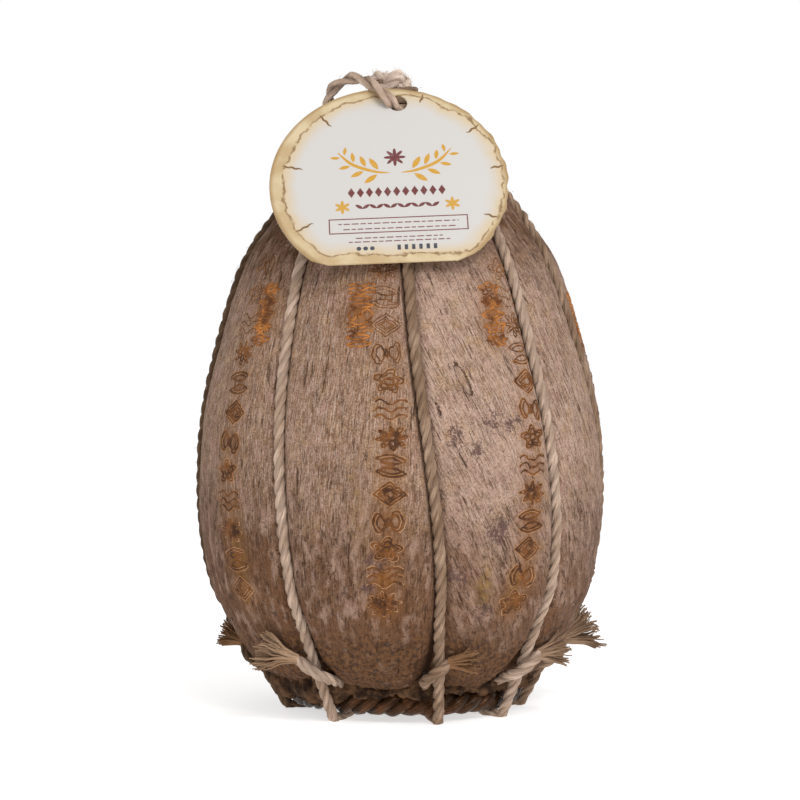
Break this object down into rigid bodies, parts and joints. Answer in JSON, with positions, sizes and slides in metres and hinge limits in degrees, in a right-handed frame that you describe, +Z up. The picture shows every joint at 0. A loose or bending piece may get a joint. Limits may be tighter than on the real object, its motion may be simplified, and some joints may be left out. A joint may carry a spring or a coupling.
{
  "type": "corded provolone cheese",
  "caption": "Whole aged egg-shaped provolone cheese with lobes between its cords, standing on a twisted rope ring, with a card tag on a cord.",
  "frame": {"origin": "on the cheese's axis, at the level that the wraps under the rope ring stand on", "axes": "+Z up along the cheese's axis, -Y towards the side with the tag, +X to the right of someone who faces the tag"},
  "size_m": [0.1794, 0.1798, 0.2808],
  "materials": {
    "rind": "dry, rough, greyish-brown aged rind with fine upright fissures and darker crust at the foot",
    "twine": "dusty grey-beige twisted natural fibre",
    "waxed_rope": "thick dark brown twisted rope, greasy and glossy",
    "card": null
  },
  "bodies": {
    "root": {"cheese": "rind", "base_ring": "waxed_rope", "cord_1": "twine", "cord_2": "twine", "cord_3": "twine", "cord_4": "twine", "cord_5": "twine", "cord_6": "twine", "cord_7": "twine", "cord_8": "twine", "binding": "twine", "tag": "card", "tag_cord": "twine"}
  },
  "joints": []
}
